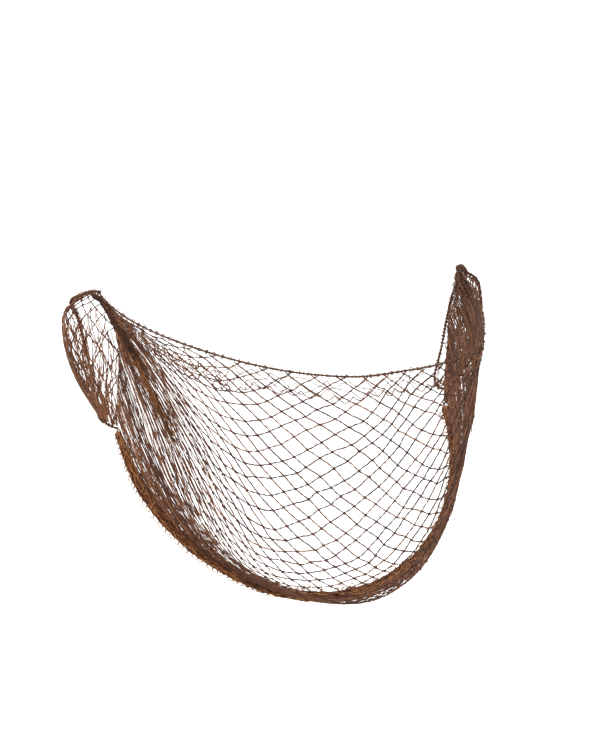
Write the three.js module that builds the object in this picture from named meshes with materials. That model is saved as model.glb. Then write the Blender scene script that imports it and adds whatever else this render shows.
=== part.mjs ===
// Beard snood: a hairnet pouch with an elastic edge, worn over the mouth, cheeks, chin and both ears.
// Millimetres. The origin is midway between the ears, +X is the wearer's left, -Y forwards, +Z up.
// The pouch is one curved sheet: u runs along its tension lines from the front of the right ear (-1)
// to the front of the left one (1), and v from the edge over the nose (0) to the hem under the jaw (1).
import * as THREE from "three";
import { mergeVertices } from "three/addons/utils/BufferGeometryUtils.js";

// Driving dimensions
const CLEARANCE = 0.3; // between neighbouring pieces
const EDGE_CLEARANCE = 0.6; // between the net's edge and what runs round it, which eases its corners
const NET_WALL = 1.1;
const STRAND_WIDTH = 2.4; // of the net left standing between two gaps
const PLEAT_HEIGHT = 3.0; // crest to trough, in the gathered cheeks
const ELASTIC_RADIUS = 0.7;
const HEM_WIDTH = 5.6; // the roll of bunched net round the elastic
const HEM_DEPTH = 4.2;
const HEM_GATHERS = 22;
const HEM_BUNCH = 0.09; // how much fuller the roll is at a gather, as a share
const GATHER_WIDTH = 5.0; // the bunch of net in front of each ear
const GATHER_DEPTH = 2.6;

// Lattice of the net, in half cells
const FACE_COLUMNS = 12; // each side of the middle
const FACE_ROWS = 14;
const EAR_COLUMNS = 5;
const EAR_ROWS = 8;

// A table's rows by the names of their columns.
function tableOf(columns, rows) {
  const names = columns.split(" ");
  return rows.map((row) => Object.fromEntries(names.map((name, k) => [name, row[k]])));
}

// Tension lines of the pouch. side: where the line leaves the ear. front: where it crosses the middle.
// ridge, ridgeWidth: the tent that the nose and lips push out. bow: how full the line's curve is from
// above. drop: how it falls from side to front. skew: how much higher it lies on the right cheek.
const TENSION_LINES = tableOf("v sideX sideY sideZ frontY frontZ ridge ridgeWidth bow drop skew", [
  [0.0, 77, 4, 24, -112, -8, 8, 16, 0.8, 0.74, 4],
  [0.12, 75, 2, 20, -120, -25, 14, 15, 0.84, 0.84, 2],
  [0.3, 73, 1, 12, -107, -56, 4, 22, 0.9, 0.95, 1],
  [0.47, 71, 1, 2, -100, -85, 4, 22, 1.04, 1.05, 0],
  [0.6, 71, 3, -6, -87, -98, 2, 22, 1.15, 1.05, 0],
  [0.8, 71, 8, -18, -70, -101, 0, 22, 1.05, 1.05, 0],
  [1.0, 71, 12, -31, -56, -101, 0, 22, 0.9, 1.05, 0],
]);

// Sections of the pocket over one ear, from its top (v = 0) to its lobe (v = 1): the rim it rounds and
// the back edge, where the elastic lies behind the ear.
const EAR_SECTIONS = tableOf("v rimX rimY rimZ backX backY backZ", [
  [0.0, 84, 13, 23, 86, 20, 20],
  [0.25, 90, 16, 17, 83, 25, 13],
  [0.5, 90, 17, 3, 80, 27, 1],
  [0.75, 85, 19, -12, 77, 28, -12],
  [1.0, 77, 19, -26, 71, 25, -26],
]);
const RIM_SHARE = 0.62; // how far across the pocket its rim lies
const EAR_SPAN = 0.5; // the pocket's share of u, past 1

// How far from the middle the net hangs open; beyond it the cells are pulled shut into pleats.
const OPEN_REACH = tableOf("v reach", [
  [0.0, 0.8],
  [0.2, 0.68],
  [0.45, 0.56],
  [1.0, 0.46],
]);
const OPEN_BOTTOM = 0.9; // below this the net runs bunched into the hem

const clamp = THREE.MathUtils.clamp;
const smoothstep = THREE.MathUtils.smoothstep;

// Every column of a table at v, as cubic Hermite curves through its rows.
function rowAt(table, v) {
  const last = table.length - 1;
  const slope = (k, name) => {
    const rise = (a, b) => (table[b][name] - table[a][name]) / (table[b].v - table[a].v);
    if (k === 0) return rise(0, 1);
    if (k === last) return rise(last - 1, last);
    const before = table[k].v - table[k - 1].v;
    const after = table[k + 1].v - table[k].v;
    return (rise(k - 1, k) * after + rise(k, k + 1) * before) / (before + after);
  };
  const place = clamp(v, 0, 1);
  let k = 0;
  while (k < last - 1 && place > table[k + 1].v) k += 1;
  const span = table[k + 1].v - table[k].v;
  const t = (place - table[k].v) / span;
  const row = {};
  for (const name of Object.keys(table[0])) {
    row[name] =
      (2 * t ** 3 - 3 * t ** 2 + 1) * table[k][name] +
      (t ** 3 - 2 * t ** 2 + t) * span * slope(k, name) +
      (3 * t ** 2 - 2 * t ** 3) * table[k + 1][name] +
      (t ** 3 - t ** 2) * span * slope(k + 1, name);
  }
  return row;
}

// The sheet over the face, for u from -1 to 1.
function facePoint(u, v) {
  const line = rowAt(TENSION_LINES, v);
  const sideways = Math.sin((u * Math.PI) / 2);
  const forwards = Math.abs(Math.cos((u * Math.PI) / 2));
  const x = line.sideX * sideways;
  const reach = line.frontY + line.ridge - line.sideY;
  const y = line.sideY + reach * forwards ** line.bow - line.ridge * Math.exp(-((x / line.ridgeWidth) ** 2));
  const tilt = 2.6 * sideways * Math.abs(sideways) * forwards; // 1 at its most, between ear and middle
  const z = line.sideZ + (line.frontZ - line.sideZ) * forwards ** line.drop - line.skew * tilt;
  return new THREE.Vector3(x, y, z);
}

// The pocket over one ear: a parabola from the front of the ear, w = 0, round its rim to w = 1.
function earPoint(side, w, v) {
  const ear = rowAt(EAR_SECTIONS, v);
  const front = facePoint(1, v);
  const rim = new THREE.Vector3(ear.rimX, ear.rimY, ear.rimZ);
  const back = new THREE.Vector3(ear.backX, ear.backY, ear.backZ);
  const point = front
    .multiplyScalar(((w - RIM_SHARE) * (w - 1)) / RIM_SHARE)
    .addScaledVector(rim, (w * (w - 1)) / (RIM_SHARE * (RIM_SHARE - 1)))
    .addScaledVector(back, (w * (w - RIM_SHARE)) / (1 - RIM_SHARE));
  point.x *= side;
  return point;
}

// The whole sheet, pockets and all.
function sheetPoint(u, v) {
  if (Math.abs(u) <= 1) return facePoint(u, v);
  return earPoint(Math.sign(u), (Math.abs(u) - 1) / EAR_SPAN, v);
}

// A closed solid from corner points and triangles, flat shaded.
function solid(points, triangles) {
  const corners = triangles.flat().flatMap((index) => points[index].toArray());
  const geometry = new THREE.BufferGeometry();
  geometry.setAttribute("position", new THREE.Float32BufferAttribute(corners, 3));
  return mergeVertices(geometry, 1e-4);
}

// Outline and middle of the diamond cell round a lattice point, cut off at the lattice's border.
function cellAt(i, j, { first, last, rows }) {
  const inside = ([a, b]) => a >= first && a <= last && b >= 0 && b <= rows;
  const ring = [[1, 0], [0.5, -0.5], [0, -1], [-0.5, -0.5], [-1, 0], [-0.5, 0.5], [0, 1], [0.5, 0.5]];
  const around = ring.map(([a, b]) => [i + a, j + b]);
  const kept = around.filter(inside);
  if (kept.length === around.length) return { outline: kept, middle: [i, j] };
  if (kept.length < 4) return null; // a corner's quarter cell is left off, so the corner is rounded
  while (inside(kept[0]) && inside(around[(around.indexOf(kept[0]) + 7) % 8])) kept.push(kept.shift());
  kept.push([i, j]);
  const middle = [0, 1].map((axis) => kept.reduce((sum, corner) => sum + corner[axis], 0) / kept.length);
  return { outline: kept, middle };
}

// A net wall over a lattice: every diamond cell that isOpen says is cut through, the others are closed.
// place maps the lattice to the sheet, lift raises pleats from it, and both take lattice coordinates.
function netWall({ lattice, place, isOpen, lift }) {
  const { first, last, rows } = lattice;
  const vertices = [];
  const indexOf = new Map();
  const vertex = ([i, j]) => {
    const key = `${i.toFixed(4)} ${j.toFixed(4)}`;
    if (!indexOf.has(key)) indexOf.set(key, vertices.push([i, j]) - 1);
    return indexOf.get(key);
  };

  const faces = [];
  for (let j = 0; j <= rows; j += 1) {
    for (let i = first; i <= last; i += 1) {
      if ((i + j) % 2 === 0) continue;
      const cell = cellAt(i, j, lattice);
      if (!cell) continue;
      const { outline, middle } = cell;
      const size = outline.length;
      if (!isOpen(i, j)) {
        outline.forEach((corner, k) => {
          faces.push([vertex(middle), vertex(corner), vertex(outline[(k + 1) % size])]);
        });
        continue;
      }
      const rim = outline.map((corner) => place(...corner));
      const centre = place(...middle);
      let area = 0;
      let border = 0;
      rim.forEach((corner, k) => {
        const next = rim[(k + 1) % size];
        area += new THREE.Triangle(centre, corner, next).getArea();
        border += corner.distanceTo(next);
      });
      const shrink = 1 - STRAND_WIDTH / 2 / ((2 * area) / border);
      const drawIn = (value, axis) => middle[axis] + shrink * (value - middle[axis]);
      const gap = outline.map((corner) => corner.map(drawIn));
      outline.forEach((corner, k) => {
        const next = (k + 1) % size;
        faces.push([vertex(gap[k]), vertex(corner), vertex(outline[next])]);
        faces.push([vertex(gap[k]), vertex(outline[next]), vertex(gap[next])]);
      });
    }
  }

  const step = 0.05;
  const outside = [];
  const inner = [];
  for (const [i, j] of vertices) {
    const along = place(Math.min(i + step, last), j).sub(place(Math.max(i - step, first), j));
    const down = place(i, Math.min(j + step, rows)).sub(place(i, Math.max(j - step, 0)));
    const normal = down.cross(along).normalize();
    const middle = place(i, j).addScaledVector(normal, lift(i, j));
    outside.push(middle.clone().addScaledVector(normal, NET_WALL / 2));
    inner.push(middle.addScaledVector(normal, -NET_WALL / 2));
  }

  const count = vertices.length;
  const triangles = faces.flatMap(([a, b, c]) => [[a, b, c], [count + c, count + b, count + a]]);
  const edges = new Set(faces.flatMap(([a, b, c]) => [`${a} ${b}`, `${b} ${c}`, `${c} ${a}`]));
  for (const edge of edges) {
    const [a, b] = edge.split(" ").map(Number);
    if (edges.has(`${b} ${a}`)) continue;
    triangles.push([b, a, count + a], [b, count + a, count + b]);
  }
  return solid([...outside, ...inner], triangles);
}

// Eases the kinks out of a path: every station but the end ones moves to its neighbours' average.
function eased(stations, passes) {
  for (let pass = 0; pass < passes; pass += 1) {
    const centres = stations.map(({ centre }) => centre.clone());
    for (let k = 1; k < stations.length - 1; k += 1) {
      stations[k].centre.lerpVectors(centres[k - 1], centres[k + 1], 0.5).lerp(centres[k], 0.5);
    }
  }
  return stations;
}

// A closed roll through stations, each an ellipse: width lies across, depth at right angles to it.
function roll(stations, sides) {
  const points = [];
  const triangles = [];
  const steps = stations.length;
  stations.forEach(({ centre, across, width, depth }, k) => {
    const ahead = stations[Math.min(k + 1, steps - 1)].centre;
    const behind = stations[Math.max(k - 1, 0)].centre;
    const tangent = ahead.clone().sub(behind).normalize();
    const wide = across.clone().addScaledVector(tangent, -across.dot(tangent)).normalize();
    const deep = tangent.clone().cross(wide);
    for (let side = 0; side < sides; side += 1) {
      const angle = (side / sides) * 2 * Math.PI;
      points.push(
        centre.clone()
          .addScaledVector(wide, (Math.cos(angle) * width) / 2)
          .addScaledVector(deep, (Math.sin(angle) * depth) / 2),
      );
    }
  });
  for (let k = 0; k < steps - 1; k += 1) {
    for (let side = 0; side < sides; side += 1) {
      const here = k * sides + side;
      const next = k * sides + ((side + 1) % sides);
      triangles.push([here, next, here + sides], [here + sides, next, next + sides]);
    }
  }
  const start = points.push(stations[0].centre) - 1;
  const end = points.push(stations[steps - 1].centre) - 1;
  for (let side = 0; side < sides; side += 1) {
    const next = (side + 1) % sides;
    const finalRing = (steps - 1) * sides;
    triangles.push([start, next, side], [end, finalRing + side, finalRing + next]);
  }
  return solid(points, triangles);
}

// The sheet's border on the left side, from mid nose round the back of the ear to mid chin, in (u, v).
const BACK = 1 + EAR_SPAN;
const CORNER_U = EAR_SPAN / EAR_COLUMNS;
const CORNER_V = 1 / EAR_ROWS;
const BORDER = new THREE.Path()
  .moveTo(0, 0)
  .lineTo(BACK - CORNER_U, 0)
  .quadraticCurveTo(BACK, 0, BACK, CORNER_V)
  .lineTo(BACK, 1 - CORNER_V)
  .quadraticCurveTo(BACK, 1, BACK - CORNER_U, 1)
  .lineTo(0, 1);

// A point beside the border at a share of its length, offset outwards in the sheet, on either side.
function besideBorder(share, side, offset) {
  const at = BORDER.getPointAt(clamp(share, 0, 1));
  const heading = BORDER.getTangentAt(clamp(share, 0, 1));
  const reach = 0.01;
  const point = (du, dv) => sheetPoint(side * (at.x + du), at.y + dv);
  const ahead = point(heading.x * reach, heading.y * reach);
  const tangent = ahead.sub(point(-heading.x * reach, -heading.y * reach)).normalize();
  const inwards = point(-heading.y * reach, heading.x * reach).sub(point(0, 0));
  const across = inwards.negate();
  across.addScaledVector(tangent, -across.dot(tangent)).normalize();
  return { centre: point(0, 0).addScaledVector(across, offset), across };
}

const HEM_START = 0.746; // where the hem takes over from the bare elastic below the ear, as a share
const ELASTIC_STEPS = 60; // each side
const HEM_STEPS = 4 * HEM_GATHERS;

function elasticEdge() {
  const offset = ELASTIC_RADIUS + EDGE_CLEARANCE;
  const stations = [];
  for (let k = -ELASTIC_STEPS; k <= ELASTIC_STEPS; k += 1) {
    const share = (Math.abs(k) / ELASTIC_STEPS) * HEM_START;
    const { centre, across } = besideBorder(share, Math.sign(k) || 1, offset);
    stations.push({ centre, across, width: 2 * ELASTIC_RADIUS, depth: 2 * ELASTIC_RADIUS });
  }
  return roll(eased(stations, 1), 8);
}

function gatheredHem() {
  const stations = [];
  for (let k = 0; k <= HEM_STEPS; k += 1) {
    const along = (2 * k) / HEM_STEPS - 1; // -1 below the right ear, 1 below the left
    const share = 1 - Math.abs(along) * (1 - HEM_START - 0.001);
    const taper = 0.32 + 0.68 * smoothstep(1 - Math.abs(along), 0, 0.22);
    const bunch = 1 + HEM_BUNCH * Math.cos((2 * Math.PI * k * HEM_GATHERS) / HEM_STEPS);
    const width = HEM_WIDTH * taper * bunch;
    const offset = (HEM_WIDTH * taper * (1 + HEM_BUNCH)) / 2 + EDGE_CLEARANCE;
    const { centre, across } = besideBorder(share, Math.sign(along) || 1, offset);
    stations.push({ centre, across, width, depth: HEM_DEPTH * taper * bunch });
  }
  return roll(eased(stations, 2), 10);
}

// The bunched net that lies on the sheet just in front of an ear, thick at the elastic and fading down.
function earGather(side) {
  const steps = 14;
  const column = 0.955;
  const stations = [];
  for (let k = 0; k <= steps; k += 1) {
    const along = k / steps;
    const v = 0.02 + 0.4 * along;
    const place = (u, row) => facePoint(side * u, row);
    const forwards = place(column - 0.03, v).sub(place(column + 0.03, v));
    const down = place(column, v + 0.02).sub(place(column, v - 0.02));
    const outwards = forwards.clone().cross(down).multiplyScalar(side).normalize();
    const fullness = 0.25 + 0.75 * Math.sin(Math.PI * (0.35 + 0.65 * along)) ** 0.7;
    const depth = GATHER_DEPTH * fullness;
    const lie = NET_WALL / 2 + CLEARANCE + depth / 2;
    const centre = place(column, v).addScaledVector(outwards, lie);
    stations.push({ centre, across: forwards, width: GATHER_WIDTH * fullness, depth });
  }
  return roll(stations, 10);
}

function faceNet() {
  const isOpen = (i, j) => {
    const v = j / FACE_ROWS;
    return Math.abs(i / FACE_COLUMNS) < rowAt(OPEN_REACH, v).reach && v < OPEN_BOTTOM;
  };
  const lift = (i, j) => {
    const u = Math.abs(i / FACE_COLUMNS);
    const v = j / FACE_ROWS;
    const reach = rowAt(OPEN_REACH, v).reach;
    const shut = smoothstep(u, reach - 0.05, reach + 0.1) * (1 - smoothstep(u, 0.86, 0.92));
    return (PLEAT_HEIGHT / 2) * shut * Math.cos(Math.PI * j);
  };
  return netWall({
    lattice: { first: -FACE_COLUMNS, last: FACE_COLUMNS, rows: FACE_ROWS },
    place: (i, j) => facePoint(i / FACE_COLUMNS, j / FACE_ROWS),
    isOpen,
    lift,
  });
}

function earNet(side) {
  const seam = 2 * CLEARANCE + NET_WALL / 2; // from the middle of the face net's edge to this one's
  const nearFront = 0.02;
  const startAt = (v) => (nearFront * seam) / earPoint(1, 0, v).distanceTo(earPoint(1, nearFront, v));
  return netWall({
    lattice: { first: side < 0 ? -EAR_COLUMNS : 0, last: side < 0 ? 0 : EAR_COLUMNS, rows: EAR_ROWS },
    place: (i, j) => {
      const v = j / EAR_ROWS;
      return earPoint(side, THREE.MathUtils.lerp(startAt(v), 1, Math.abs(i) / EAR_COLUMNS), v);
    },
    isOpen: (i, j) => Math.abs(i) > 0 && Math.abs(i) < EAR_COLUMNS && j > 0 && j < EAR_ROWS,
    lift: () => 0,
  });
}

const netMaterial = new THREE.MeshStandardMaterial({ color: "#5c4334", roughness: 0.8, metalness: 0 });
const hemMaterial = new THREE.MeshStandardMaterial({ color: "#7a4a2b", roughness: 0.85, metalness: 0 });
const elasticMaterial = new THREE.MeshStandardMaterial({ color: "#3d2a21", roughness: 0.75, metalness: 0 });

const snood = new THREE.Group();
function add(name, geometry, material) {
  const mesh = new THREE.Mesh(geometry, material);
  mesh.name = name;
  snood.add(mesh);
}
add("face_net", faceNet(), netMaterial);
add("edge_elastic", elasticEdge(), elasticMaterial);
add("gathered_hem", gatheredHem(), hemMaterial);
for (const [name, side] of [["right", -1], ["left", 1]]) {
  add(`ear_net_${name}`, earNet(side), netMaterial);
  add(`ear_gather_${name}`, earGather(side), hemMaterial);
}

export default snood;
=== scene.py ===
"""The looks of a beard snood: a brown nylon net with an elastic edge, in the form it has when worn.

Metres, in the frame of the CAD model: +X is the wearer's left, the face looks along -Y, +Z is up."""
import bpy
import math
import numpy as np
from mathutils import Matrix, Vector


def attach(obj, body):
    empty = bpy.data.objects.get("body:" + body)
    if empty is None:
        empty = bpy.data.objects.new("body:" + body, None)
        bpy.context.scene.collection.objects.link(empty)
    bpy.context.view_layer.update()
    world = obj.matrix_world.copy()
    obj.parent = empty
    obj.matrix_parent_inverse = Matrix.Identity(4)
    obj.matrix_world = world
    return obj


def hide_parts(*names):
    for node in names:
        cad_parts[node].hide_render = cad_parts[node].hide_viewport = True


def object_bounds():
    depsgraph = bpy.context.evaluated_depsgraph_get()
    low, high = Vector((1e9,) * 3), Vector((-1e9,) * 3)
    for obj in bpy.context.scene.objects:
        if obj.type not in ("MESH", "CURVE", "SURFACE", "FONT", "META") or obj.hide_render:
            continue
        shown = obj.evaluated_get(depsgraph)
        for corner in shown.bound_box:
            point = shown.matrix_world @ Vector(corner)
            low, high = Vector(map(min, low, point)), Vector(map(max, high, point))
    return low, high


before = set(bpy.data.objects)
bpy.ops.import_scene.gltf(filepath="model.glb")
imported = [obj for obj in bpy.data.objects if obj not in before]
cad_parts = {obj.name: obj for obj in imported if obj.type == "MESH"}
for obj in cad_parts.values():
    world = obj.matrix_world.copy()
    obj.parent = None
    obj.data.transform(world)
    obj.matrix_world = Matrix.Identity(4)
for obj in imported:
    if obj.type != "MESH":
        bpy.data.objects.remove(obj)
cad_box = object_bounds()
MM = 0.001

# ---------------------------------------------------------------------------------------------
# Camera: a long lens a little to the wearer's right and just above the mouth, tipped slightly.
# The point between the ears lies left of the view's middle and above it.
AZIMUTH, ELEVATION, TIP = math.radians(-16.0), math.radians(5.0), math.radians(2.8)
CAMERA_DISTANCE = 2.2
VIEW_HEIGHT = 311.2 * MM
AIM_RIGHT, AIM_UP = 5.19 * MM, -14.1 * MM

back = Vector((
    math.sin(AZIMUTH) * math.cos(ELEVATION),
    -math.cos(AZIMUTH) * math.cos(ELEVATION),
    math.sin(ELEVATION),
))
level = Vector((math.cos(AZIMUTH), math.sin(AZIMUTH), 0.0))
upright = back.cross(level)
right = level * math.cos(TIP) - upright * math.sin(TIP)
up = level * math.sin(TIP) + upright * math.cos(TIP)
camera_data = bpy.data.cameras.new("camera")
camera_data.sensor_fit = "VERTICAL"
camera_data.sensor_height = 36.0
camera_data.lens = camera_data.sensor_height * CAMERA_DISTANCE / VIEW_HEIGHT
camera = bpy.data.objects.new("camera", camera_data)
camera.matrix_world = Matrix.Translation(
    back * CAMERA_DISTANCE + right * AIM_RIGHT + up * AIM_UP
) @ Matrix((right, up, back)).transposed().to_4x4()
bpy.context.scene.collection.objects.link(camera)
bpy.context.scene.camera = camera

# ---------------------------------------------------------------------------------------------
# Studio: a pale floor that sweeps up into a wall, a wide soft key from the front left, a fill
# from the right and an even sky, as for a packshot on white.
FLOOR_DROP = 55 * MM  # below the lowest point of the net
FLOOR_FRONT, FLOOR_HALF_WIDTH, WALL_TOP = -4.0, 5.0, 5.0
SWEEP_RADIUS = 1.2
SWEEP_DEPTH = 1.6
SWEEP_STEPS = 24


def swept_floor(floor_z):
    """Flat from the front to SWEEP_DEPTH behind, then a quarter circle up, then a straight wall."""
    bend = np.linspace(0.0, math.pi / 2, SWEEP_STEPS)
    swept_y = SWEEP_DEPTH + SWEEP_RADIUS * np.sin(bend)
    swept_z = SWEEP_RADIUS * (1 - np.cos(bend))
    profile_y = np.concatenate([[FLOOR_FRONT], swept_y, swept_y[-1:]])
    profile_z = np.concatenate([[0.0], swept_z, [WALL_TOP]]) + floor_z
    width = np.array([-FLOOR_HALF_WIDTH, FLOOR_HALF_WIDTH])
    x, y = np.meshgrid(width, profile_y, indexing="ij")
    z = np.broadcast_to(profile_z, x.shape)
    points = np.stack([x, y, z], axis=-1).reshape(-1, 3)
    count = len(profile_y)
    k = np.arange(count - 1)
    faces = np.stack([k, k + count, k + count + 1, k + 1], axis=1)
    mesh = bpy.data.meshes.new("studio_floor")
    mesh.from_pydata(points.tolist(), [], faces.tolist())
    mesh.polygons.foreach_set("use_smooth", np.ones(len(mesh.polygons), bool))
    return bpy.data.objects.new("studio_floor", mesh)


floor = swept_floor(cad_box[0][2] - FLOOR_DROP)
floor_material = bpy.data.materials.new("studio_white")
floor_material.use_nodes = True
floor_shader = floor_material.node_tree.nodes["Principled BSDF"]
floor_shader.inputs["Base Color"].default_value = (0.93, 0.93, 0.93, 1)
floor_shader.inputs["Roughness"].default_value = 0.9
floor.data.materials.append(floor_material)
bpy.context.scene.collection.objects.link(floor)


def soft_light(name, place, size, watts, aim=(0.0, -0.03, -0.04)):
    """A square area light at place, turned to face aim."""
    data = bpy.data.lights.new(name, "AREA")
    data.energy = watts
    data.size = size
    light = bpy.data.objects.new(name, data)
    toward = Vector(aim) - Vector(place)
    light.matrix_world = Matrix.Translation(place) @ toward.to_track_quat("-Z", "Y").to_matrix().to_4x4()
    bpy.context.scene.collection.objects.link(light)


soft_light("key_light", (-1.3, -1.6, 1.5), size=1.4, watts=55)
soft_light("fill_light", (1.6, -1.4, 0.7), size=1.2, watts=18)
soft_light("wall_light", (0.0, 0.9, 2.2), size=2.4, watts=60, aim=(0.0, 2.4, 0.6))
sky = bpy.data.worlds.new("sky")
sky.use_nodes = True
sky.node_tree.nodes["Background"].inputs["Color"].default_value = (1, 1, 1, 1)
sky.node_tree.nodes["Background"].inputs["Strength"].default_value = 0.75
bpy.context.scene.world = sky
bpy.context.scene.view_settings.view_transform = "Standard"

# ---------------------------------------------------------------------------------------------
# Face net: fine brown nylon thread knitted into diamond cells, stretched from ear to ear over the
# nose, mouth and chin. Open in the middle, pulled shut into fine parallel strands in the cheeks.
# It is made as diagonal strands over a curved sheet, with a small knot where two of them cross.

# Tension lines of the pouch, in millimetres. side: where the line leaves the ear. front: where it
# crosses the middle. ridge, ridge_width: the tent that the nose and lips push out. bow: how full its
# curve is from above. drop: how it falls from side to front. skew: how far the right cheek is lifted
# and the left one lowered.
TENSION_LINES = np.array([
    # v, side x, y, z, front y, z, ridge, ridge_width, bow, drop, skew
    [0.00, 77, 4, 24, -112, -8, 8, 16, 0.80, 0.74, 4],
    [0.12, 75, 2, 20, -120, -25, 14, 15, 0.84, 0.84, 2],
    [0.30, 73, 1, 12, -107, -56, 4, 22, 0.90, 0.95, 1],
    [0.47, 71, 1, 2, -100, -85, 4, 22, 1.04, 1.05, 0],
    [0.60, 71, 3, -6, -87, -98, 2, 22, 1.15, 1.05, 0],
    [0.80, 71, 8, -18, -70, -101, 0, 22, 1.05, 1.05, 0],
    [1.00, 71, 12, -31, -56, -101, 0, 22, 0.90, 1.05, 0],
])
SKEW_PEAK = 2.6  # brings the lift to the whole of skew where it is greatest
NOISE_WAVES = 8
THREAD_LENGTH_IN_UV = 10 * MM  # of thread to one unit of its map


def hermite(t, start, start_slope, end, end_slope):
    """A cubic from start to end as t runs from 0 to 1, with the given slopes at its two ends."""
    return (
        (2 * t**3 - 3 * t**2 + 1) * start
        + (t**3 - 2 * t**2 + t) * start_slope
        + (3 * t**2 - 2 * t**3) * end
        + (t**3 - t**2) * end_slope
    )


def row_at(table, v):
    """Every column of a table at v: cubics through its rows, sloped as the rows beside each one are."""
    knots, values = table[:, 0], table[:, 1:]
    slopes = np.gradient(values, knots, axis=0)
    place = np.clip(v, 0.0, 1.0)
    k = np.clip(np.searchsorted(knots, place, side="right") - 1, 0, len(knots) - 2)
    span = knots[k + 1] - knots[k]
    t = ((place - knots[k]) / span)[..., None]
    span = span[..., None]
    curve = hermite(t, values[k], span * slopes[k], values[k + 1], span * slopes[k + 1])
    return np.moveaxis(curve, -1, 0)


def face_point(u, v):
    """The sheet over the face. x is a sine of u, so it is round at the cheeks; y and z run from the
    side's value to the front's by powers of the cosine; a bell curve of x makes the nose's tent, and
    a signed square of the sine times the cosine lifts the right cheek and lowers the left one."""
    u, v = np.broadcast_arrays(np.asarray(u, float), np.asarray(v, float))
    side_x, side_y, side_z, front_y, front_z, ridge, ridge_width, bow, drop, skew = row_at(TENSION_LINES, v)
    sideways = np.sin(np.clip(u, -1, 1) * math.pi / 2)
    forwards = np.abs(np.cos(np.clip(u, -1, 1) * math.pi / 2))
    x = side_x * sideways
    y = side_y + (front_y + ridge - side_y) * forwards**bow - ridge * np.exp(-((x / ridge_width) ** 2))
    lean = skew * SKEW_PEAK * sideways * np.abs(sideways) * forwards
    z = side_z + (front_z - side_z) * forwards**drop - lean
    return np.stack([x, y, z], axis=-1) * MM


def unit(vectors):
    """Vectors divided by their lengths."""
    return vectors / np.maximum(np.linalg.norm(vectors, axis=-1, keepdims=True), 1e-12)


def sheet_normal(sheet, u, v, low_u, high_u):
    """Outward normal of a sheet: the way down it crossed with the way along it, both by differences."""
    step = 0.004
    along = sheet(np.minimum(u + step, high_u), v) - sheet(np.maximum(u - step, low_u), v)
    down = sheet(u, np.minimum(v + step, 1.0)) - sheet(u, np.maximum(v - step, 0.0))
    return unit(np.cross(down, along))


def smooth_noise(seed, points, grain):
    """Soft noise, mostly from -1 to 1, the same each time for the same seed: a sum of sines of the
    points, in random directions, whose waves are about grain long, divided by half their number."""
    draw = np.random.default_rng(seed)
    direction = unit(draw.normal(size=(NOISE_WAVES, points.shape[-1])))
    pace = 2 * math.pi / (grain * draw.uniform(0.7, 1.5, size=NOISE_WAVES))
    phase = draw.uniform(0, 2 * math.pi, size=NOISE_WAVES)
    return np.sin(points @ direction.T * pace + phase).sum(axis=-1) / (NOISE_WAVES / 2)


def through(points, steps):
    """A Catmull-Rom curve through points, steps samples to each stretch."""
    before = np.concatenate([2 * points[:1] - points[1:2], points[:-1]])
    after = np.concatenate([points[1:], 2 * points[-1:] - points[-2:-1]])
    slope = (after - before) / 2
    t = (np.arange(steps) / steps)[None, :, None]
    curve = hermite(t, points[:-1, None], slope[:-1, None], points[1:, None], slope[1:, None])
    return np.concatenate([curve.reshape(-1, points.shape[1]), points[-1:]])


def strand(path, outwards, wide, thick, sides=6, turns_per_metre=180.0, tone=0.5):
    """A closed thread along a path: an oval, wide by thick, that turns steadily about the path as a
    twisted yarn does. Gives its points, its side quads, its two ends, and a UV for each quad corner."""
    steps = len(path)
    wide = np.broadcast_to(wide, steps)[:, None]
    thick = np.broadcast_to(thick, steps)[:, None]
    ahead = unit(np.gradient(path, axis=0))
    lift = unit(outwards - (outwards * ahead).sum(axis=-1, keepdims=True) * ahead)
    aside = np.cross(ahead, lift)
    run = np.concatenate([[0.0], np.cumsum(np.linalg.norm(np.diff(path, axis=0), axis=1))])
    angle = np.linspace(0, 2 * math.pi, sides, endpoint=False)[None, :]
    turn = (run * turns_per_metre * 2 * math.pi)[:, None]
    across, over = wide / 2 * np.cos(angle), thick / 2 * np.sin(angle)
    flat = across * np.cos(turn) - over * np.sin(turn)
    high = across * np.sin(turn) + over * np.cos(turn)
    points = path[:, None] + flat[..., None] * lift[:, None] + high[..., None] * aside[:, None]
    k, s = np.meshgrid(np.arange(steps - 1), np.arange(sides), indexing="ij")
    here, beside = k * sides + s, k * sides + (s + 1) % sides
    quads = np.stack([here, beside, beside + sides, here + sides], axis=-1).reshape(-1, 4)
    start = np.arange(sides)[::-1]
    end = (steps - 1) * sides + np.arange(sides)
    length_u = np.stack([run[k], run[k], run[k + 1], run[k + 1]], axis=-1).reshape(-1, 4)
    round_v = np.stack([s, s + 1, s + 1, s], axis=-1).reshape(-1, 4) / sides
    corners = np.stack([length_u / THREAD_LENGTH_IN_UV, round_v], axis=-1)
    return points.reshape(-1, 3), quads, np.stack([start, end]), corners, tone


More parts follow.
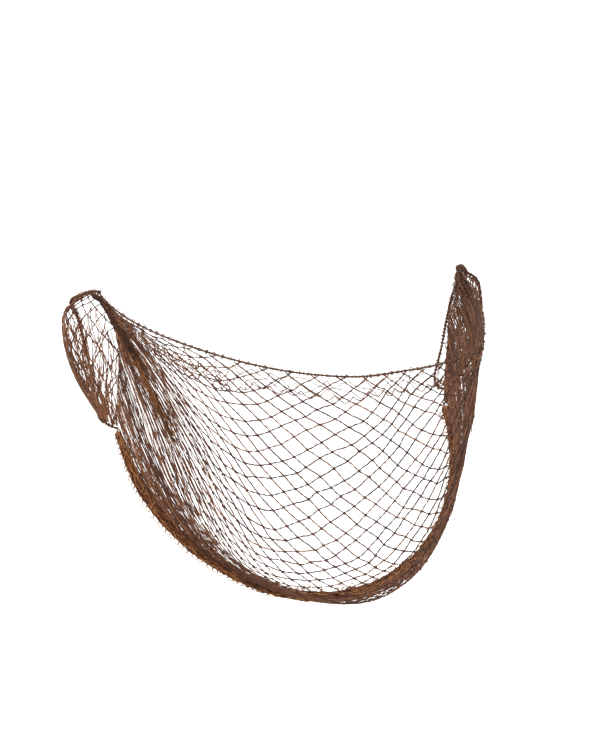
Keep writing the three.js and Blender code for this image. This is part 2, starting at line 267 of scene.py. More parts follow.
def piece_from(name, parts, material, stands_for=None):
    """One mesh object of many closed parts, each as strand gives it, with a UV map and each part's
    tone as an attribute of its faces. It rides on the root and may stand for a CAD node."""
    offset = 0
    points, quads, ends, corners, tones, end_tones = [], [], [], [], [], []
    for part_points, part_quads, part_ends, part_corners, tone in parts:
        points.append(part_points)
        quads.append(part_quads + offset)
        ends.extend((part_ends + offset).tolist())
        corners.append(part_corners)
        tones.append(np.full(len(part_quads), tone))
        end_tones.extend([tone] * len(part_ends))
        offset += len(part_points)
    quads = np.concatenate(quads)
    mesh = bpy.data.meshes.new(name)
    mesh.from_pydata(np.concatenate(points).tolist(), [], quads.tolist() + ends)
    uv = np.zeros((len(mesh.loops), 2))
    uv[: quads.size] = np.concatenate(corners).reshape(-1, 2)
    mesh.uv_layers.new(name="along_thread").data.foreach_set("uv", uv.ravel())
    tone = mesh.attributes.new("tone", "FLOAT", "FACE")
    tone.data.foreach_set("value", np.concatenate([*tones, end_tones]))
    mesh.polygons.foreach_set("use_smooth", np.ones(len(mesh.polygons), bool))
    mesh.materials.append(material)
    piece = bpy.data.objects.new(name, mesh)
    bpy.context.scene.collection.objects.link(piece)
    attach(piece, "root")
    if stands_for:
        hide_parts(stands_for)
    return piece


def thread_material(name, dark, mid, light, roughness=0.55, plies=26.0):
    """Twisted nylon yarn: dark, mid and light browns by each thread's tone and by noise, with the
    slanting stripes of its plies as bump and shade."""
    material = bpy.data.materials.new(name)
    material.use_nodes = True
    nodes, links = material.node_tree.nodes, material.node_tree.links
    shader = nodes["Principled BSDF"]
    place = nodes.new("ShaderNodeTexCoord")
    tone = nodes.new("ShaderNodeAttribute")
    tone.attribute_name = "tone"
    noise = nodes.new("ShaderNodeTexNoise")
    noise.inputs["Scale"].default_value = 420.0
    noise.inputs["Detail"].default_value = 2.0
    links.new(place.outputs["Object"], noise.inputs["Vector"])
    shade = nodes.new("ShaderNodeMath")
    shade.operation = "MULTIPLY_ADD"
    shade.inputs[1].default_value = 0.5
    links.new(noise.outputs["Fac"], shade.inputs[0])
    half_tone = nodes.new("ShaderNodeMath")
    half_tone.operation = "MULTIPLY_ADD"
    half_tone.inputs[1].default_value = 0.9
    half_tone.inputs[2].default_value = -0.2
    links.new(tone.outputs["Fac"], half_tone.inputs[0])
    links.new(half_tone.outputs[0], shade.inputs[2])
    stripe = nodes.new("ShaderNodeTexWave")
    stripe.bands_direction = "DIAGONAL"
    stripe.inputs["Scale"].default_value = 1.0
    stretch = nodes.new("ShaderNodeMapping")
    stretch.inputs["Scale"].default_value = (plies, 2.0, 1.0)
    links.new(place.outputs["UV"], stretch.inputs["Vector"])
    links.new(stretch.outputs["Vector"], stripe.inputs["Vector"])
    ramp = nodes.new("ShaderNodeValToRGB")
    ramp.color_ramp.elements[0].position = 0.1
    ramp.color_ramp.elements[0].color = (*dark, 1)
    ramp.color_ramp.elements[1].position = 0.95
    ramp.color_ramp.elements[1].color = (*light, 1)
    ramp.color_ramp.elements.new(0.5).color = (*mid, 1)
    links.new(shade.outputs[0], ramp.inputs["Fac"])
    # Painted shade: the base colour is darkened in the grooves between the plies.
    ply_groove_shade = nodes.new("ShaderNodeMixRGB")
    ply_groove_shade.blend_type = "MULTIPLY"
    ply_groove_shade.inputs["Color2"].default_value = (0.55, 0.5, 0.48, 1)
    lowered = nodes.new("ShaderNodeMapRange")
    lowered.inputs["From Min"].default_value = 0.35
    lowered.inputs["From Max"].default_value = 0.0
    links.new(stripe.outputs["Fac"], lowered.inputs["Value"])
    links.new(lowered.outputs["Result"], ply_groove_shade.inputs["Fac"])
    links.new(ramp.outputs["Color"], ply_groove_shade.inputs["Color1"])
    links.new(ply_groove_shade.outputs["Color"], shader.inputs["Base Color"])
    bump = nodes.new("ShaderNodeBump")
    bump.inputs["Strength"].default_value = 0.5
    bump.inputs["Distance"].default_value = 0.1 * MM
    links.new(stripe.outputs["Fac"], bump.inputs["Height"])
    links.new(bump.outputs["Normal"], shader.inputs["Normal"])
    shader.inputs["Roughness"].default_value = roughness
    shader.inputs["Specular IOR Level"].default_value = 0.2
    return material


FACE_COLUMNS = 22  # half cells each side of the middle
FACE_ROWS = 74  # in the cheeks
FRONT_SHARE = 0.76  # of the rows that cross the middle; the others end on the hem in the cheeks
LONGER_CELLS = 0.15  # how much the cells lengthen towards the ears
TALLER_CELLS = 0.25  # how much taller they are at the nose than halfway down
CHEEK_PULL = 1.7  # how far the rows crowd towards the top of the ear
THREAD_WIDE, THREAD_THICK = 0.80 * MM, 0.52 * MM
FINE_WIDE, FINE_THICK = 0.42 * MM, 0.34 * MM  # of the single strands in the cheeks, edge and bunches
THREAD_STEPS = 5  # to each side of a cell
CRINKLE, CRINKLE_GRAIN = 0.16 * MM, 3.2 * MM  # of the knitted yarn, to each side of its path
WANDER, WANDER_GRAIN = 0.4 * MM, 15 * MM  # of a thread off the sheet
CROSSING_LIFT = 0.15 * MM  # of the falling threads, which lie over the rising ones
OPEN_MIDDLE, CHEEK_RUN = 0.3, 0.65  # where across the net the cheeks begin, and how far they go on
JAW_START, JAW_RUN = 0.45, 0.3  # the same down the net, towards the hem
KNOTS_END = 0.6  # nearness to the ears or the hem past which the shut cells hide their knots
KNOT_SHAPE = np.array([0.5, 1.0, 1.0, 0.5])  # its width, from end to end


def cheek_share(u):
    """0 over the open middle of the net, 1 at the ears, with a smooth step between."""
    ease = np.clip((np.abs(u) - OPEN_MIDDLE) / CHEEK_RUN, 0, 1)
    return ease * ease * (3 - 2 * ease)


def shut_share(u, v):
    """0 in the open front and 1 at the ears or the hem: the greater of cheek_share and a straight ramp
    down the jaw."""
    return np.maximum(cheek_share(u), np.clip((v - JAW_START) / JAW_RUN, 0, 1))


def face_lattice(across, t):
    """Sheet u and v of the face net's lattice shares. u is a cubic, so that the cells are longer in
    the cheeks. v is a parabola of t in the middle and a power of t at the ears; past 1 it is cut off
    by the hem."""
    u = across * (1 - LONGER_CELLS + LONGER_CELLS * across**2)
    front = t / FRONT_SHARE
    front = front * (1 + TALLER_CELLS - TALLER_CELLS * front)
    return u, front + (t**CHEEK_PULL - front) * cheek_share(u)


def slackened(columns, rows, seed, rounds=60, spread=0.22):
    """Knots of a lattice, in half cells. Each thread gets its own pull at random, and every inner
    knot moves over and over to the mean of its four neighbours weighted by those pulls."""
    i, j = np.meshgrid(np.arange(-columns, columns + 1.0), np.arange(rows + 1.0), indexing="ij")
    draw = np.random.default_rng(seed)
    falling = np.exp(draw.normal(0, spread, size=(2 * columns, rows)))
    rising = np.exp(draw.normal(0, spread, size=(2 * columns, rows)))
    for _ in range(rounds):
        for grid in (i, j):
            pull = (
                falling[:-1, :-1] * grid[:-2, :-2]
                + falling[1:, 1:] * grid[2:, 2:]
                + rising[:-1, 1:] * grid[:-2, 2:]
                + rising[1:, :-1] * grid[2:, :-2]
            )
            weight = falling[:-1, :-1] + falling[1:, 1:] + rising[:-1, 1:] + rising[1:, :-1]
            grid[1:-1, 1:-1] = pull / weight
    return i, j


def diagonals(columns, rows):
    """Lattice indices of every diagonal strand through the knots, where column plus row is even, as
    (columns, rows, falls). Columns are counted from the left."""
    wide = 2 * columns
    found = []
    for falls in (True, False):
        for start in range(-rows, wide + rows + 1):
            j = np.arange(rows + 1)
            i = start + j if falls else start - j
            inside = (i >= 0) & (i <= wide)
            if (start + columns) % 2 == 0 and inside.sum() > 1:
                found.append((i[inside], j[inside], falls))
    return found


def drawn_out(path, before, after):
    """The path with a straight stretch added at each end, in line with it."""
    first = path[:1] + unit(path[:1] - path[1:2]) * before
    last = path[-1:] + unit(path[-1:] - path[-2:-1]) * after
    return np.concatenate([first] * (before > 0) + [path] + [last] * (after > 0))


def stretches_inside(v):
    """Slices of a strand that lie above the hem, v = 1, each with the first point past it."""
    inside = np.concatenate([[False], v < 1.0, [False]])
    starts = np.flatnonzero(inside[1:] & ~inside[:-1])
    ends = np.flatnonzero(~inside[1:] & inside[:-1])
    return [slice(max(a - 1, 0), min(b + 1, len(v))) for a, b in zip(starts, ends) if b - a > 2]


def crinkled(path, outwards, seed, reach, grain):
    """The path pushed to and fro, in the sheet and out of it, by soft noise of the given grain."""
    ahead = unit(np.gradient(path, axis=0))
    aside = np.cross(ahead, outwards)
    sway, bob = smooth_noise(seed, path, grain), smooth_noise(seed + 1, path, grain)
    return path + reach * (sway[:, None] * aside + 0.7 * bob[:, None] * outwards)


def net_strands(
    sheet, low_u, high_u, columns, rows, place, seed, reach_top, reach_bottom,
    wide=THREAD_WIDE, thick=THREAD_THICK, lift=0.0, crinkle=CRINKLE, spread=0.22, narrowing=0.0,
):
    """Every diagonal strand of a lattice laid on a sheet, and the small knots where they cross.
    place turns lattice shares into the sheet's u and v. Strands that end at the top or bottom row
    run on by reach_top or reach_bottom, into the edge that holds them. lift is off the sheet, and
    narrowing is how much thinner and tauter the threads are at the ears and under the jaw."""
    knot_i, knot_j = slackened(columns, rows, seed, spread=spread)
    draw = np.random.default_rng(seed + 1)
    strands, knots = [], []
    for number, (i, j, falls) in enumerate(diagonals(columns, rows)):
        lattice = through(np.stack([knot_i[i, j] / columns, knot_j[i, j] / rows], axis=1), THREAD_STEPS)
        u, v = place(np.clip(lattice[:, 0], -1, 1), np.clip(lattice[:, 1], 0, 1))
        is_crossing = np.arange(len(v)) % THREAD_STEPS == 0
        tone = draw.uniform(0.15, 0.85)
        for part in stretches_inside(v):
            part_u, part_v = u[part], np.minimum(v[part], 1.0)
            path = sheet(part_u, part_v)
            outwards = sheet_normal(sheet, part_u, part_v, low_u, high_u)
            over = CROSSING_LIFT if falls else -CROSSING_LIFT
            wander = WANDER * smooth_noise(seed + 2, path, WANDER_GRAIN) + over
            path = path + outwards * (wander + lift)[:, None]
            crossings = np.flatnonzero(is_crossing[part])
            middle = crossings[(crossings > 0) & (crossings < len(path) - 1)] if falls else crossings[:0]
            shut = shut_share(part_u, part_v)
            middle = middle[shut[middle] < KNOTS_END]
            for spot in middle:
                slant = unit(path[spot + 1] - path[spot - 1]) + 0.5 * unit(draw.normal(size=3))
                length = draw.uniform(1.0, 1.5) * MM
                bead = path[spot] + np.linspace(-0.5, 0.5, len(KNOT_SHAPE))[:, None] * unit(slant) * length
                shrunk = 1 - 0.5 * cheek_share(part_u[spot])
                swell = KNOT_SHAPE * draw.uniform(1.3, 1.7) * wide * shrunk
                around = np.repeat(outwards[spot][None], len(KNOT_SHAPE), axis=0)
                knots.append(strand(bead, around, swell, swell * 0.7, sides=5, tone=draw.uniform(0.1, 0.5)))
            taut = 1 - 1.3 * narrowing * shut[:, None]
            path = crinkled(path, outwards, seed + 10 + 2 * number, crinkle * taut, CRINKLE_GRAIN)
            before = reach_top if part_v[0] < 1e-6 else 0.0
            after = reach_bottom if part_v[-1] > 1 - 1e-6 else 0.0
            path = drawn_out(path, before, after)
            outwards = np.concatenate(
                [outwards[:1]] * (before > 0) + [outwards] + [outwards[-1:]] * (after > 0)
            )
            thinner = 1 - narrowing * np.pad(shut, (int(before > 0), int(after > 0)), mode="edge")
            strands.append(strand(path, outwards, wide * thinner, thick * thinner, sides=5, tone=tone))
    return strands, knots


net_material = thread_material(
    "brown_net_thread", (0.030, 0.010, 0.004), (0.105, 0.037, 0.017), (0.27, 0.12, 0.055)
)
face_strands, face_knots = net_strands(
    face_point, -1, 1, FACE_COLUMNS, FACE_ROWS, face_lattice, seed=7,
    reach_top=1.6 * MM, reach_bottom=3.5 * MM, narrowing=0.5,
)
face_threads = piece_from("face_net_threads", face_strands, net_material, "face_net")
face_knots = piece_from("face_net_knots", face_knots, net_material)

# In the cheeks the shut cells lie one over another as fine parallel strands.
CHEEK_STRANDS = 76
CHEEK_SAMPLES = 44
CHEEK_TOP, CHEEK_DEPTH = 0.2, 0.77  # of the rows that the strands are spread over
CHEEK_SAG = 0.003  # of the rows, to each side of a strand's own
for side, name in ((-1, "right"), (1, "left")):
    draw = np.random.default_rng(90 + side)
    cheek_parts = []
    for index in range(CHEEK_STRANDS):
        across = side * np.linspace(0.995, draw.uniform(0.5, 0.72), CHEEK_SAMPLES)
        sag = CHEEK_SAG * smooth_noise(1700 + index, across[:, None], 0.3)
        t = CHEEK_TOP + CHEEK_DEPTH * (index + draw.uniform()) / CHEEK_STRANDS + sag
        u, v = face_lattice(across, np.clip(t, 0, 1))
        height, tone = draw.uniform(-0.3, 0.5) * MM, draw.uniform(0.3, 1.0)
        for part in stretches_inside(v):
            part_u, part_v = u[part], np.minimum(v[part], 1.0)
            outwards = sheet_normal(face_point, part_u, part_v, -1, 1)
            path = face_point(part_u, part_v) + outwards * height
            path = crinkled(path, outwards, 1900 + 2 * index, 0.12 * MM, 3 * MM)
            cheek_parts.append(strand(path, outwards, FINE_WIDE, FINE_THICK, sides=5, tone=tone))
    piece_from(f"cheek_threads_{name}", cheek_parts, net_material)

# ---------------------------------------------------------------------------------------------
# Ear nets: the same net drawn over each ear, from the crease in front of it, round its rim, to the
# elastic behind. Its cells are long and run down the ear to the lobe, where they close up.
EAR_SECTIONS = np.array([
    # v, rim x, y, z, back x, y, z
    [0.00, 84, 13, 23, 86, 20, 20],
    [0.25, 90, 16, 17, 83, 25, 13],
    [0.50, 90, 17, 3, 80, 27, 1],
    [0.75, 85, 19, -12, 77, 28, -12],
    [1.00, 77, 19, -26, 71, 25, -26],
])
RIM_SHARE = 0.62  # how far across the pocket its rim lies
EAR_HALF_COLUMNS = 7
EAR_ROWS = 12
EAR_LONG_STRANDS = 80  # that run down to the lobe over the cells
EAR_SAMPLES = 30
EAR_PULL = 1.3  # how far the rows crowd towards the top of the ear
EAR_REACH = 1.4 * MM  # of the threads past the sheet, into its edge


def ear_point(side, w, v):
    """The pocket over one ear: a parabola from the crease, w = 0, through the rim, to the back edge."""
    w, v = np.broadcast_arrays(np.asarray(w, float), np.asarray(v, float))
    section = row_at(EAR_SECTIONS, v) * MM
    front = face_point(np.ones_like(v), v)
    rim, rear = np.stack(section[:3], axis=-1), np.stack(section[3:], axis=-1)
    w = w[..., None]
    point = (
        front * (w - RIM_SHARE) * (w - 1) / RIM_SHARE
        + rim * w * (w - 1) / (RIM_SHARE * (RIM_SHARE - 1))
        + rear * w * (w - RIM_SHARE) / (1 - RIM_SHARE)
    )
    return point * np.array([side, 1.0, 1.0])


for side, name in ((-1, "right"), (1, "left")):
    def pocket(u, v, side=side):
        """The pocket as a sheet whose u runs with x: from the back edge on the right side, and from
        the crease on the left."""
        return ear_point(side, (1 + side * u) / 2, v)

    ear_strands, ear_knots = net_strands(
        pocket, -1, 1, EAR_HALF_COLUMNS, EAR_ROWS, lambda across, t: (across, t**EAR_PULL),
        seed=2000 + 200 * side, reach_top=EAR_REACH, reach_bottom=EAR_REACH,
        wide=0.62 * MM, thick=0.45 * MM,
    )
    draw = np.random.default_rng(2500 + side)
    for index in range(EAR_LONG_STRANDS):
        v = np.linspace(draw.uniform(0.15, 0.65), 1.0, EAR_SAMPLES)
        w = 0.95 * draw.uniform(0, 1) ** 1.5 + 0.05 * smooth_noise(2600 + index, v[:, None], 0.5)
        u = side * (2 * np.clip(w, 0.0, 1.0) - 1)
        outwards = sheet_normal(pocket, u, v, -1, 1)
        path = pocket(u, v) + outwards * 0.3 * MM
        path = crinkled(path, outwards, 2700 + 2 * index, 0.15 * MM, 4 * MM)
        tone = draw.uniform(0.3, 1.0)
        ear_strands.append(strand(path, outwards, 0.48 * MM, 0.36 * MM, sides=5, tone=tone))
    ear_parts = ear_strands + ear_knots
    piece_from(f"ear_net_threads_{name}", ear_parts, net_material, f"ear_net_{name}")

# ---------------------------------------------------------------------------------------------
# Edge elastic: a thin round rubber thread, wrapped in dark brown yarn, that runs over the nose, over
# the tops of the ears and down behind them. The net's loops are threaded on it.
EAR_SPAN = 0.5  # of u over each ear's pocket
CORNER_U, CORNER_V = EAR_SPAN / 5, 1 / 8
CORNER_STEPS = 12
HEM_START = 0.746  # share of the border where the elastic is cut off; a real one runs on in the hem
ELASTIC_RADIUS = 0.7 * MM
EDGE_CLEARANCE = 0.6 * MM  # between the net's edge and what runs round it


def sheet_point(u, v):
    """The face and, past u = 1 on either side, the ear's pocket."""
    face = face_point(u, v)
    share = np.clip((np.abs(u) - 1) / EAR_SPAN, 0, 1)
    on_right, on_left = ear_point(-1, share, v), ear_point(1, share, v)
    return np.where((u < -1)[..., None], on_right, np.where((u > 1)[..., None], on_left, face))


def border(share):
    """Sheet coordinates of the left side's border and the way it heads, at shares of its length:
    straight along the top, round a parabola's corner, down behind the ear, round a second one, and
    straight back along the hem."""
    bend = np.linspace(0, 1, CORNER_STEPS)[:, None]

    def corner(start, turn, end):
        """A parabola from start to end that heads for turn at first."""
        start, turn, end = np.array(start), np.array(turn), np.array(end)
        return (1 - bend) ** 2 * start + 2 * bend * (1 - bend) * turn + bend**2 * end

    far = 1 + EAR_SPAN
    line = np.concatenate([
        [[0.0, 0.0]],
        corner((far - CORNER_U, 0.0), (far, 0.0), (far, CORNER_V)),
        corner((far, 1 - CORNER_V), (far, 1.0), (far - CORNER_U, 1.0)),
        [[0.0, 1.0]],
    ])
    run = np.concatenate([[0.0], np.cumsum(np.linalg.norm(np.diff(line, axis=0), axis=1))])

    def at(share):
        """Sheet coordinates at shares of the border's length."""
        place = np.clip(share, 0, 1) * run[-1]
        return np.stack([np.interp(place, run, line[:, 0]), np.interp(place, run, line[:, 1])], axis=-1)

    return at(share), unit(at(share + 0.001) - at(share - 0.001))


def beside_border(share, side, offset):
    """Points offset outwards in the sheet from its border on one side, with the ways outwards in the
    sheet and square to it. The way along is a difference of two points on the border, and the way
    outwards a difference with a point inside it, less its part along."""
    spot, heading = border(share)
    reach = 0.01
    step_u, step_v = heading[:, 0] * reach, heading[:, 1] * reach

    def point(du, dv):
        """The sheet at a step in u and v from each spot of the border."""
        return sheet_point(side * (spot[:, 0] + du), spot[:, 1] + dv)

    centre = point(0, 0)
    ahead = unit(point(step_u, step_v) - point(-step_u, -step_v))
    across = centre - point(-step_v, step_u)
    across = unit(across - (across * ahead).sum(axis=-1, keepdims=True) * ahead)
    return centre + across * np.reshape(offset, (-1, 1)), across, unit(np.cross(across, ahead)) * side


def whole_loop(shares, offset):
    """beside_border for a run that is the same on both sides, from the right one to the left one.
    shares run from the middle outwards and start at the middle itself."""
    left = beside_border(shares, 1, offset)
    right = beside_border(shares, -1, offset)
    return [np.concatenate([r[:0:-1], l]) for r, l in zip(right, left)]


def wrapped(centre, across, square, radius, turns, phase=0.0):
    """A helix round a path: a circle of the given radius in the plane of across and square."""
    run = np.concatenate([[0.0], np.cumsum(np.linalg.norm(np.diff(centre, axis=0), axis=1))])
    angle = phase + run * turns * 2 * math.pi
    return centre + radius * (np.cos(angle)[:, None] * across + np.sin(angle)[:, None] * square)


elastic_material = thread_material(
    "dark_wrapped_elastic", (0.024, 0.009, 0.004), (0.080, 0.030, 0.015), (0.22, 0.10, 0.05), plies=18.0
)
ELASTIC_SAMPLES = 420  # each side
CORE_WIDE, PLY_WIDE, PLY_RADIUS = 0.8 * MM, 0.5 * MM, 0.45 * MM
PLY_TURNS = 330.0  # a metre
LOOP_EVERY, LOOP_SAMPLES = 4, 10  # a small loop of yarn on every fourth sample but those at the ends
LOOP_FREE_ENDS = 6
shares = np.linspace(0, HEM_START, ELASTIC_SAMPLES)
elastic_offset = np.full(ELASTIC_SAMPLES, ELASTIC_RADIUS + EDGE_CLEARANCE)
elastic_line, elastic_across, elastic_square = whole_loop(shares, elastic_offset)
elastic_parts = [strand(elastic_line, elastic_across, CORE_WIDE, CORE_WIDE, sides=8, tone=0.2)]
for ply in range(2):
    helix = wrapped(elastic_line, elastic_across, elastic_square, PLY_RADIUS, PLY_TURNS, ply * math.pi)
    elastic_parts.append(strand(helix, elastic_across, PLY_WIDE, PLY_WIDE, sides=5, tone=0.75))
draw = np.random.default_rng(31)
for spot in range(LOOP_FREE_ENDS, len(elastic_line) - LOOP_FREE_ENDS, LOOP_EVERY):
    turn = np.linspace(0, 2 * math.pi, LOOP_SAMPLES)[:, None]
    radius = draw.uniform(0.6, 1.1) * MM
    ahead = unit(elastic_line[spot + 1] - elastic_line[spot - 1])
    lean = draw.uniform(-0.5, 0.5)
    facing = np.cos(turn) * elastic_across[spot] + np.sin(turn) * elastic_square[spot]
    loop = elastic_line[spot] + radius * facing + ahead * radius * lean * np.sin(turn + spot)
    tone = draw.uniform(0.4, 1.0)
    elastic_parts.append(strand(loop, facing, FINE_WIDE, FINE_THICK, sides=4, tone=tone))
elastic_piece = piece_from(
    "edge_elastic_wrapped", elastic_parts, elastic_material, "edge_elastic"
)

# ---------------------------------------------------------------------------------------------
# Folded edge: the last rows of the net are turned down over the elastic, so a second layer of small,
# crumpled cells hangs below it, and its loops droop in garlands from one knot to the next.
FOLD_DEPTH = 0.11  # share of the sheet in front of the ears, from the edge down
FOLD_COLUMNS, FOLD_ROWS = 32, 3
FOLD_REACH = 0.94  # how far towards the ears it goes
FOLD_OVER_NOSE = 0.45  # how deep it is over the nose, as a share of its depth in front of the ears
FOLD_GAP = 0.004  # of the sheet, between the edge and its first row


def fold_lattice(across, t):
    """Sheet u and v of the folded strip, which is deepest in front of the ears."""
    u = FOLD_REACH * across
    beside_nose = np.clip((np.abs(u) - 0.3) / 0.3, 0, 1)
    deep = FOLD_DEPTH * (FOLD_OVER_NOSE + (1 - FOLD_OVER_NOSE) * beside_nose)
    return u, deep * t + FOLD_GAP


fold_strands, _ = net_strands(
    face_point, -1, 1, FOLD_COLUMNS, FOLD_ROWS, fold_lattice, seed=4001,
    reach_top=1.2 * MM, reach_bottom=0.0, wide=0.44 * MM, thick=0.34 * MM, lift=0.5 * MM,
    crinkle=0.2 * MM, spread=0.7,
)
draw = np.random.default_rng(41)
DROOPS_PER_U, DROOP_SAMPLES = 20, 34
DROOP = 0.016  # of the sheet
# Garlands: where across the sheet each begins and ends, and how far down the fold it hangs.
CHEEK_GARLANDS = [(low, low + 0.5, depth) for low in (-0.93, 0.43) for depth in (0.35, 0.62, 0.95)]
for row, (low, high, depth) in enumerate(CHEEK_GARLANDS + [(-0.5, 0.5, 0.95)]):
    droops = round(DROOPS_PER_U * (high - low))
    phase = np.linspace(0, math.pi * droops, droops * DROOP_SAMPLES)
    across = np.linspace(low, high, len(phase)) / FOLD_REACH
    u, v = fold_lattice(across, np.full_like(across, depth))
    sway = smooth_noise(4300 + row, np.stack([u, v], axis=-1), 0.13)
    v = v * (0.85 + 0.2 * sway) + DROOP * np.abs(np.sin(phase))
    outwards = sheet_normal(face_point, u, v, -1, 1)
    path = face_point(u, v) + outwards * 0.9 * MM
    crumple = (0.12 + 0.7 * np.clip((np.abs(u) - 0.35) / 0.2, 0, 1))[:, None] * MM
    path = crinkled(path, outwards, 4400 + row, crumple, 2.0 * MM)
    tone = draw.uniform(0.3, 0.8)
    fold_strands.append(strand(path, outwards, 0.55 * MM, 0.42 * MM, sides=5, tone=tone))
folded_edge = piece_from("folded_edge_loops", fold_strands, net_material)

# ---------------------------------------------------------------------------------------------
# Gathered hem: under the jaw the net's edge is bunched up on its elastic into a soft roll of many
# orange-brown strands, with little loops standing out along its lower side.
HEM_WIDTH, HEM_DEPTH = 5.6 * MM, 4.2 * MM
HEM_SAMPLES = 130  # each side
HEM_STRANDS = 44
HEM_WISPS, WISP_SAMPLES = 30, 60  # loose strands that fade inwards from the roll
HEM_TIP = 0.62  # how wide the roll's ends are beside its middle
HEM_TAPER_RUN = 0.22  # share of the hem over which it narrows to them
HEM_CORE = 0.66  # how wide the plain core is beside the whole roll
hem_material = thread_material(
    "bunched_hem_thread", (0.036, 0.010, 0.003), (0.185, 0.060, 0.018), (0.50, 0.23, 0.09), roughness=0.65
)
shares = np.linspace(1.0, HEM_START + 0.002, HEM_SAMPLES)
from_middle = (1 - shares) / (1 - HEM_START)
taper = np.clip((1 - from_middle) / HEM_TAPER_RUN, 0, 1)
taper = HEM_TIP + (1 - HEM_TIP) * taper * taper * (3 - 2 * taper)
hem_line, hem_across, _ = whole_loop(shares, HEM_WIDTH * taper / 2 + EDGE_CLEARANCE)
hem_taper = np.concatenate([taper[:0:-1], taper])[:, None]
hem_ahead = unit(np.gradient(hem_line, axis=0))
hem_square = np.cross(hem_ahead, hem_across)
hem_noise = smooth_noise(51, hem_line, 9 * MM)[:, None]
core_wide = (HEM_CORE * HEM_WIDTH * hem_taper * (1 + 0.1 * hem_noise))[:, 0]
core_thick = (HEM_CORE * HEM_DEPTH * hem_taper)[:, 0]
# The plain core has the darkest tone: painted shade in the packed middle of the roll.
hem_parts = [strand(hem_line, hem_across, core_wide, core_thick, sides=14, turns_per_metre=0.0, tone=0.1)]
draw = np.random.default_rng(52)
for index in range(HEM_STRANDS):
    start = draw.uniform(0, 2 * math.pi)
    winding = draw.uniform(-3, 3)
    share = np.linspace(0, 1, len(hem_line))
    sway = smooth_noise(600 + index, hem_line, draw.uniform(8, 20) * MM)
    flutter = smooth_noise(700 + index, hem_line, 5 * MM)
    angle = (start + winding * 2 * math.pi * share + 0.8 * sway)[:, None]
    out = (0.86 + 0.12 * flutter)[:, None] * hem_taper
    oval = np.cos(angle) * hem_across * HEM_WIDTH + np.sin(angle) * hem_square * HEM_DEPTH
    path = hem_line + out * oval / 2
    facing = np.cos(angle) * hem_across + np.sin(angle) * hem_square
    size = draw.uniform(0.4, 0.7) * MM
    path = crinkled(path, facing, 650 + 2 * index, 0.4 * MM, CRINKLE_GRAIN)
    hem_parts.append(strand(path, facing, size, size * 0.7, sides=4, tone=draw.uniform(0.1, 1.0)))
hem_piece = piece_from("gathered_hem_strands", hem_parts, hem_material, "gathered_hem")


def between(values, place):
    """Rows of an array at places that lie between its indices, on straight lines from row to row."""
    before = place.astype(int)
    share = (place - before)[:, None]
    return values[before] * (1 - share) + values[before + 1] * share


# Garlands of loops along the roll: how many loops, how far they stand out, and their tilt round it.
HEM_GARLANDS = ((120, 2.1 * MM, 0.1), (110, 1.6 * MM, 0.7), (105, 1.6 * MM, -0.6))
HEM_LOOP_SAMPLES = 10
loop_parts = []
for garland, (loops, stand_out, tilt) in enumerate(HEM_GARLANDS):
    phase = np.linspace(0, 2 * math.pi * loops, loops * HEM_LOOP_SAMPLES)
    place = np.linspace(0, len(hem_line) - 1.001, len(phase))
    centre, thin = between(hem_line, place), between(hem_taper, place)
    out, square = unit(between(hem_across, place)), unit(between(hem_square, place))
    ahead = unit(np.gradient(centre, axis=0))
    sway = smooth_noise(800 + garland, centre, 6 * MM)
    standing = (0.5 + 0.5 * np.cos(phase)) * stand_out * (1 + 0.6 * sway)
    height = (0.45 * HEM_WIDTH + standing)[:, None] * thin
    angle = (tilt + 0.35 * sway)[:, None]
    path = centre + height * (np.cos(angle) * out + np.sin(angle) * square)
    path = path + ahead * (0.8 * MM * np.sin(phase + 0.4))[:, None]
    facing = np.cos(angle) * out + np.sin(angle) * square
    # The loops have a fixed light tone: painted highlight where they stand out from the roll.
    loop_parts.append(strand(path, facing, 0.45 * MM, 0.34 * MM, sides=4, tone=0.85))
for index in range(HEM_WISPS):
    side = 1 if index % 2 else -1
    share = np.linspace(HEM_START + draw.uniform(0.0, 0.08), 1 - draw.uniform(0.0, 0.12), WISP_SAMPLES)
    drift = smooth_noise(1300 + index, share[:, None], 0.05)
    inset = (3.0 * MM + 5 * MM * draw.uniform(0, 1) ** 1.7) * (1 + 0.35 * drift)
    line, out, square = beside_border(share, side, -inset + 2.6 * MM)
    line = crinkled(line, out, 1500 + 2 * index, 0.35 * MM, 2.6 * MM)
    u_way = unit(np.cross(unit(np.gradient(line, axis=0)), out)) * side
    line = line - u_way * draw.uniform(0.2, 1.6) * MM
    loop_parts.append(strand(line, u_way, 0.5 * MM, 0.36 * MM, sides=4, tone=draw.uniform(0.3, 1.0)))
hem_loops = piece_from("gathered_hem_loops", loop_parts, hem_material)
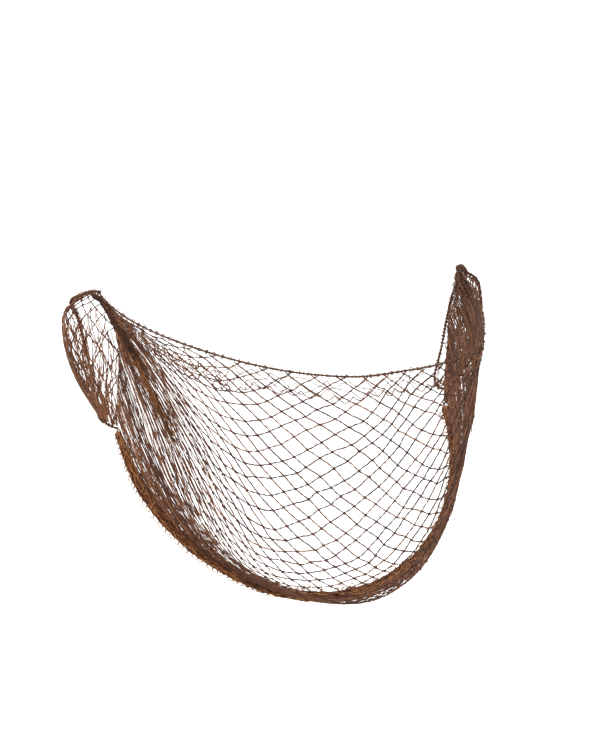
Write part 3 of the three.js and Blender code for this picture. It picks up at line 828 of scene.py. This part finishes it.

# ---------------------------------------------------------------------------------------------
# Ear gathers: in front of each ear the net is drawn up into a tight bunch under the elastic, painted
# dark at its top as shade, which opens out downwards into the strands of the cheek.
GATHER_WIDTH, GATHER_DEPTH = 5.0 * MM, 2.6 * MM
GATHER_STRANDS = 96
GATHER_SAMPLES = 46
# The way that the bunch takes down the sheet, by its share: from the elastic into the cheek's fold.
GATHER_ROUTE = np.array([
    # share, u, v
    [0.00, 1.080, 0.00],
    [0.15, 0.965, 0.06],
    [0.30, 0.910, 0.16],
    [0.50, 0.840, 0.22],
    [0.70, 0.770, 0.29],
    [0.85, 0.690, 0.36],
    [1.00, 0.610, 0.41],
])
gather_material = thread_material(
    "drawn_up_thread", (0.030, 0.009, 0.003), (0.160, 0.056, 0.017), (0.44, 0.20, 0.07)
)
for side, name in ((-1, "right"), (1, "left")):
    draw = np.random.default_rng(60 + side)
    gather_parts = []
    for index in range(GATHER_STRANDS):
        length = draw.uniform(0.35, 1.0)
        along = np.linspace(0, 1, GATHER_SAMPLES) * length
        route = row_at(GATHER_ROUTE, along)
        strays = draw.uniform(0, 1) ** 2 * (index % 3 == 0)  # one strand in three
        u = route[0] + (0.955 - route[0]) * strays
        v = route[1] + (0.42 * along - route[1]) * strays
        spread = 0.65 * draw.uniform(-1, 1) + (0.35 if length > 0.6 else -0.35)
        height = draw.uniform(0, 1) ** 0.7 * math.sqrt(1 - 0.8 * spread * spread)
        base = sheet_point(side * u, v)
        outwards = sheet_normal(face_point, side * np.minimum(u, 0.99), v, -1, 1)
        aside = unit(np.cross(outwards, unit(np.gradient(base, axis=0))))
        shift = side * spread * GATHER_WIDTH / 2 * (0.8 + 1.1 * along)
        rise = 0.4 * MM + height * GATHER_DEPTH * np.minimum(0.3 + 3 * along, 1 - 0.75 * along)
        path = base + aside * shift[:, None] + outwards * rise[:, None]
        # Strands that stop short, near the elastic, get the darkest tone: painted shade at the top of the
        # tight bunch under the elastic.
        tone = np.clip((length - 0.5) / 0.2, 0, 1) * draw.uniform(0.1, 1.0)
        path = crinkled(path, outwards, 900 + 2 * index, (0.25 + 0.35 * along)[:, None] * MM, 2.2 * MM)
        gather_parts.append(strand(path, outwards, FINE_WIDE, FINE_THICK, sides=5, tone=tone))
    piece_from(
        f"ear_gather_strands_{name}", gather_parts, gather_material, f"ear_gather_{name}"
    )
